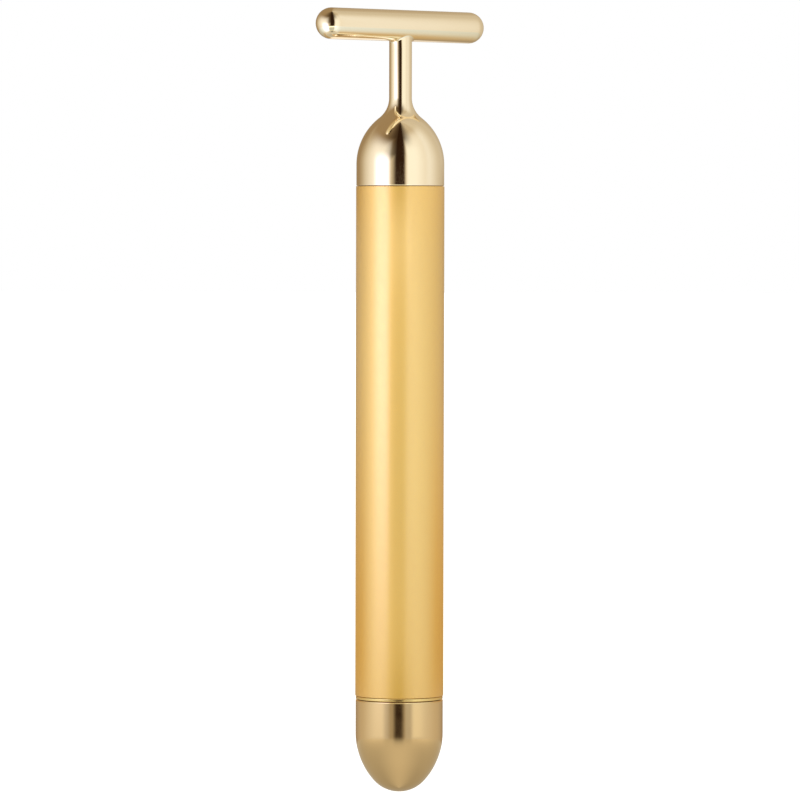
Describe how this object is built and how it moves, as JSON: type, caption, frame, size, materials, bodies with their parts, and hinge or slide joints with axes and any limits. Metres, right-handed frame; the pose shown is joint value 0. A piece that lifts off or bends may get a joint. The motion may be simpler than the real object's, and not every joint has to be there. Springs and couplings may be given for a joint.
{
  "type": "vibrating beauty bar",
  "caption": "Slim gold massage wand with a polished cross bar on a domed neck, a satin round handle that houses a cell and a vibration motor, and a domed twist cap.",
  "frame": {"origin": "lowest tip of the closing cap, on the handle's axis", "axes": "+Z along the handle towards the massage head, +X along the cross bar, +Y square to both"},
  "size_m": [0.042, 0.0174, 0.155],
  "materials": {
    "polished_gold": "mirror polish, pale champagne gold plating",
    "satin_gold": "fine satin, warm gold anodised",
    "cap_gold": "polished, champagne gold plating",
    "bright_gold": "bright gold plating",
    "seal_rubber": "soft nitrile",
    "spring_steel": "nickel-plated wire",
    "cell_metal": "bright nickel-plated can",
    "sleeve_film": "plain shrunk film",
    "carrier_plastic": "moulded, fine spark texture",
    "contact_brass": "stamped strip",
    "red_insulation": "extruded insulation",
    "black_insulation": "extruded insulation",
    "motor_steel": "zinc-plated, drawn",
    "bell_plastic": "moulded",
    "magnet_ferrite": "sintered, dull",
    "bush_bronze": "sintered, oiled",
    "shaft_steel": "ground",
    "core_steel": "stacked laminations",
    "winding_copper": "enamelled wire",
    "hub_plastic": "moulded phenolic",
    "commutator_copper": "turned",
    "spacer_nylon": "cut tube",
    "weight_brass": "sawn and tumbled"
  },
  "bodies": {
    "handle": {"massage_head": "polished_gold", "head_seal": "seal_rubber", "barrel": "satin_gold", "motor_carrier": "carrier_plastic", "positive_contact": "contact_brass", "earth_clip": "contact_brass", "positive_lead": "red_insulation", "negative_lead": "black_insulation", "motor_can": "motor_steel", "motor_end_bell": "bell_plastic", "motor_magnets": "magnet_ferrite", "front_bush": "bush_bronze", "rear_bush": "bush_bronze", "positive_brush": "contact_brass", "negative_brush": "contact_brass"},
    "cap_slider": {"battery_cell": "cell_metal", "battery_sleeve": "sleeve_film"},
    "cap": {"end_cap": "cap_gold", "cap_plug": "bright_gold", "cap_seal": "seal_rubber", "battery_spring": "spring_steel"},
    "rotor": {"motor_shaft": "shaft_steel", "rotor_core": "core_steel", "rotor_windings": "winding_copper", "commutator_hub": "hub_plastic", "commutator_segments": "commutator_copper", "shaft_spacers": "spacer_nylon", "eccentric_weight": "weight_brass"}
  },
  "joints": [
    {"name": "cap_travel", "type": "slide", "parent": "handle", "child": "cap_slider", "axis": [0, 0, -1], "range_m": [0, 0.0045]},
    {"name": "cap_turn", "type": "hinge", "parent": "cap_slider", "child": "cap", "pos_m": [0, 0, 0.01915], "axis": [0, 0, -1], "range_deg": [0, 1080]},
    {"name": "rotor_spin", "type": "hinge", "parent": "handle", "child": "rotor", "pos_m": [0, 0, 0.108], "axis": [0, 0, 1], "continuous": true}
  ],
  "couplings": [
    {"joint": "cap_turn", "follows": "cap_travel", "rad_per_m": 4188.8}
  ]
}
